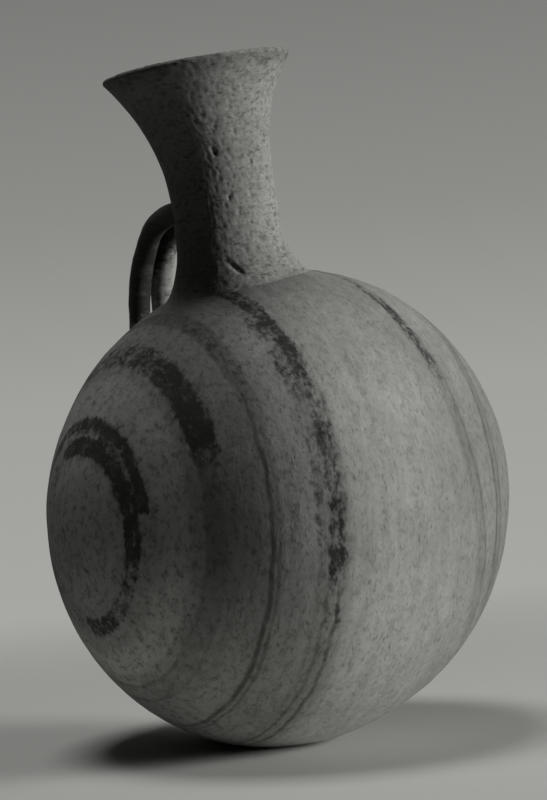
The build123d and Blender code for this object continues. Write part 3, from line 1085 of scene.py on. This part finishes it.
def fire_clay(name, body_colour, painting, wheel_turn, belts, soiling, grit, flecking):
    """Build the clay, with the paint and stain that painting gives, turned to its own wheel axis."""
    clay = Clay(name)
    place, from_pole, turned = barrel_places(clay)
    wheel = clay.turn(place, rotation=wheel_turn)
    mottle = clay.grain(wheel, (17.0, 24.0, 24.0), shift=(5.0, 0.0, 2.0), detail=4.0)
    cloud = clay.grain(wheel, (3.2, 5.5, 5.5), shift=(8.0, 3.0, 1.0), detail=4.0, rough=0.6)
    speck = clay.grain(wheel, (0.9, 1.3, 1.3), shift=(0.0, 9.0, 0.0), detail=3.0, rough=0.6)
    streak = clay.grain(wheel, (0.9, 22.0, 22.0), shift=(2.0, 3.0, 8.0), detail=3.0)
    tone = along_barrel(clay, from_pole, belts)
    for noise, amount in ((mottle, MOTTLE), (cloud, CLOUD), (speck, grit), (streak, STREAK)):
        tone = vary(clay, tone, noise, amount)
    grey = clay.node("ShaderNodeCombineColor")
    for socket in grey.inputs:
        clay.feed(socket, tone)
    colour = clay.blend(1.0, body_colour, grey.outputs[0], "MULTIPLY")
    colour, fleck = fleck_clay(clay, wheel, colour, along_barrel(clay, from_pole, soiling), flecking)
    # On the barrel this brings painted shade with the stains; on the neck, the painted shadow on the
    # handle.
    kept, faded = painting(clay, place, from_pole, turned)
    colour, paint = lay_paint(clay, wheel, colour, kept, faded, cloud)
    clay.feed(clay.shader.inputs["Base Color"], colour)
    clay.feed(clay.shader.inputs["Roughness"], clay.math("MULTIPLY_ADD", paint, -0.12, 0.9))
    clay.shader.inputs["Specular IOR Level"].default_value = 0.25
    raise_relief(clay, streak, speck, fleck, paint)
    return clay.material


painted_clay = fire_clay(
    "painted_clay", BARREL_COLOUR, barrel_rings, BARREL_WHEEL,
    belts=BELTS, soiling=SOILING, grit=0.36, flecking=0.54,
)
bare_clay = fire_clay(
    "bare_clay", NECK_COLOUR, lip_paint_and_handle_shadow, NECK_WHEEL,
    belts=NECK_BELTS, soiling=NECK_SOILING, grit=0.75, flecking=0.85,
)
for piece in (barrel, closing_disc):
    piece.data.materials.clear()
    piece.data.materials.append(painted_clay)
for piece in (neck, neck_joint, handle_near, handle_far, handle_upper_pad, handle_lower_pad):
    piece.data.materials.clear()
    piece.data.materials.append(bare_clay)
print("painted clay has", len(painted_clay.node_tree.nodes), "nodes")

# %% [markdown]
# Each finished piece rides on the jug's one body and takes the place of its CAD solid.

# %% Tie the pieces to the frame
seat(barrel, "painted_clay", "barrel_body")
seat(closing_disc, "painted_clay", "closing_plug")
seat(neck, "bare_clay", "neck")
seat(neck_joint, "bare_clay", "neck_lute")
seat(handle_near, "bare_clay", "handle_roll_near")
seat(handle_far, "bare_clay", "handle_roll_far")
seat(handle_upper_pad, "bare_clay", "handle_neck_lute")
seat(handle_lower_pad, "bare_clay", "handle_shoulder_lute")

# %% [markdown]
# The stage is a plain pale floor whose edge fades away. A disc with a see-through rim looks the same
# from every side, where a wall would hide the jug. Only the floor close to the jug throws light back at
# it, so the shaded side of the neck stays deep.

# %% Floor
FLOOR_RADIUS = 0.5
FLOOR_FADE = 0.16
FLOOR_DROP = 0.1 * MM
FLOOR_SIDES = 128
FLOOR_COLOUR = (0.58, 0.58, 0.555, 1.0)
BOUNCE_COLOUR = (0.92, 0.92, 0.89, 1.0)
BOUNCE_NEAR = 0.08
BOUNCE_FAR = 0.19
BOUNCE_REST = 0.06
BLACK = (0.0, 0.0, 0.0, 1.0)
bpy.ops.object.select_all(action="DESELECT")
bpy.ops.mesh.primitive_circle_add(
    vertices=FLOOR_SIDES, radius=FLOOR_RADIUS, fill_type="NGON", location=(0.0, 0.0, -FLOOR_DROP),
)
floor = bpy.context.object
floor.name = "floor"
floor_look = Clay("floor")
floor_place = floor_look.node("ShaderNodeTexCoord").outputs["Object"]
floor_reach = floor_look.node("ShaderNodeVectorMath", operation="LENGTH")
floor_look.feed(floor_reach.inputs[0], floor_place)
floor_rays = floor_look.node("ShaderNodeLightPath")
floor_near = floor_look.step(floor_reach.outputs["Value"], BOUNCE_NEAR, BOUNCE_FAR, 1.0, BOUNCE_REST)
bounced = floor_look.blend(floor_near, BLACK, BOUNCE_COLOUR)
floor_colour = floor_look.blend(floor_rays.outputs["Is Camera Ray"], bounced, FLOOR_COLOUR)
floor_look.feed(floor_look.shader.inputs["Base Color"], floor_colour)
floor_look.shader.inputs["Roughness"].default_value = 1.0
floor_look.shader.inputs["Specular IOR Level"].default_value = 0.0
floor_shown = floor_look.step(floor_reach.outputs["Value"], FLOOR_FADE, FLOOR_RADIUS, 1.0, 0.0)
floor_look.feed(floor_look.shader.inputs["Alpha"], floor_shown)
floor.data.materials.append(floor_look.material)
print("floor", 2 * FLOOR_RADIUS, "m across")

# %% [markdown]
# Round the stage is a plain grey, paler below than above, which only the camera and reflections see.
# What lights the jug from all round is another, very weak one, so that the lamps do the work.

# %% Surround
SURROUND = [(0.0, 0.390), (0.35, 0.355), (0.62, 0.265), (1.0, 0.19)]
SURROUND_GREEN = 1.012
SURROUND_BLUE = 0.955
SURROUND_LOW = -0.10
SURROUND_HIGH = 0.20
WEAK_COLOUR = (1.0, 1.0, 0.98, 1.0)
WEAK_LIGHT = 0.006
world = bpy.data.worlds.new("studio")
bpy.context.scene.world = world
world.use_nodes = True
nodes = world.node_tree.nodes
links = world.node_tree.links
nodes.clear()
way = nodes.new("ShaderNodeTexCoord")
parts = nodes.new("ShaderNodeSeparateXYZ")
links.new(way.outputs["Generated"], parts.inputs[0])
height = nodes.new("ShaderNodeMapRange")
links.new(parts.outputs["Z"], height.inputs["Value"])
height.inputs["From Min"].default_value = SURROUND_LOW
height.inputs["From Max"].default_value = SURROUND_HIGH
shade = nodes.new("ShaderNodeValToRGB")
links.new(height.outputs[0], shade.inputs[0])
while len(shade.color_ramp.elements) < len(SURROUND):
    shade.color_ramp.elements.new(1.0)
for element, (mark, level) in zip(shade.color_ramp.elements, SURROUND):
    element.position = mark
    element.color = (level, level * SURROUND_GREEN, level * SURROUND_BLUE, 1.0)
seen = nodes.new("ShaderNodeBackground")
links.new(shade.outputs[0], seen.inputs["Color"])
lit = nodes.new("ShaderNodeBackground")
lit.inputs["Color"].default_value = WEAK_COLOUR
lit.inputs["Strength"].default_value = WEAK_LIGHT
rays = nodes.new("ShaderNodeLightPath")
choose = nodes.new("ShaderNodeMixShader")
direct = nodes.new("ShaderNodeMath")
direct.operation = "MAXIMUM"
links.new(rays.outputs["Is Camera Ray"], direct.inputs[0])
links.new(rays.outputs["Is Glossy Ray"], direct.inputs[1])
links.new(direct.outputs[0], choose.inputs[0])
links.new(lit.outputs[0], choose.inputs[1])
links.new(seen.outputs[0], choose.inputs[2])
surface = nodes.new("ShaderNodeOutputWorld")
links.new(choose.outputs[0], surface.inputs["Surface"])
print("surround", len(nodes), "nodes")

# %% [markdown]
# The camera stands at the photograph's angle, level with the jug's waist and a little rolled.
# Its place is worked out from three angles and a distance from the middle of the barrel.

# %% Camera
VIEW_TURN = math.radians(-31.97)
VIEW_RISE = math.radians(-0.03)
VIEW_ROLL = math.radians(-4.28)
VIEW_DISTANCE = 650.0 * MM
VIEW_AIM = (-1.10 * MM, 31.29 * MM)
PHOTO_HEIGHT = 800.0
FOCAL_PIXELS = 2196.0
SENSOR = 36.0
back = Vector((
    math.sin(VIEW_TURN) * math.cos(VIEW_RISE),
    -math.cos(VIEW_TURN) * math.cos(VIEW_RISE),
    math.sin(VIEW_RISE),
))
level = Vector((math.cos(VIEW_TURN), math.sin(VIEW_TURN), 0.0))
upward = back.cross(level)
right = level * math.cos(VIEW_ROLL) + upward * math.sin(VIEW_ROLL)
top = upward * math.cos(VIEW_ROLL) - level * math.sin(VIEW_ROLL)
bpy.ops.object.select_all(action="DESELECT")
bpy.ops.object.camera_add()
camera = bpy.context.object
camera.matrix_world = Matrix((right, top, back)).transposed().to_4x4()
camera.location = CENTRE + back * VIEW_DISTANCE + right * VIEW_AIM[0] + top * VIEW_AIM[1]
camera.data.sensor_width = SENSOR
camera.data.lens = FOCAL_PIXELS * SENSOR / PHOTO_HEIGHT
camera.data.clip_start = 0.01
bpy.context.scene.camera = camera
print("camera at", [round(v, 4) for v in camera.location])

# %% [markdown]
# Plain studio light: one broad soft lamp at the camera's right, as in the photograph, and a weaker one
# overhead, a little to the left. The wide lip keeps the overhead light off the shaded side of the neck,
# and the floor throws some of it back up. The levels are set so that a lit colour renders about as it
# is written.

# %% Lamps
KEY_POWER = 22.0
TOP_POWER = 8.2
LAMP_DISTANCE = 1.5
LAMP_SIZE = 0.5


def hang_lamp(name, turn, rise, power):
    """A square soft lamp, by its angle round from the camera, its height angle and its power."""
    turn = math.radians(turn)
    rise = math.radians(rise)
    front = Vector((back.x, back.y, 0.0)).normalized()
    side = level * math.sin(turn) + front * math.cos(turn)
    way = side * math.cos(rise) + Vector((0.0, 0.0, math.sin(rise)))
    bpy.ops.object.select_all(action="DESELECT")
    bpy.ops.object.light_add(type="AREA")
    lamp = bpy.context.object
    lamp.name = name
    lamp.location = CENTRE + way * LAMP_DISTANCE
    lamp.rotation_euler = way.to_track_quat("Z", "Y").to_euler()
    lamp.data.shape = "SQUARE"
    lamp.data.size = LAMP_SIZE
    lamp.data.energy = power
    print(name, [round(v, 3) for v in lamp.location])


hang_lamp("key", turn=78.0, rise=12.0, power=KEY_POWER)
hang_lamp("top", turn=-100.0, rise=83.0, power=TOP_POWER)

# %% [markdown]
# Last, the view settings.

# %% Finish
bpy.context.scene.view_settings.view_transform = "Standard"
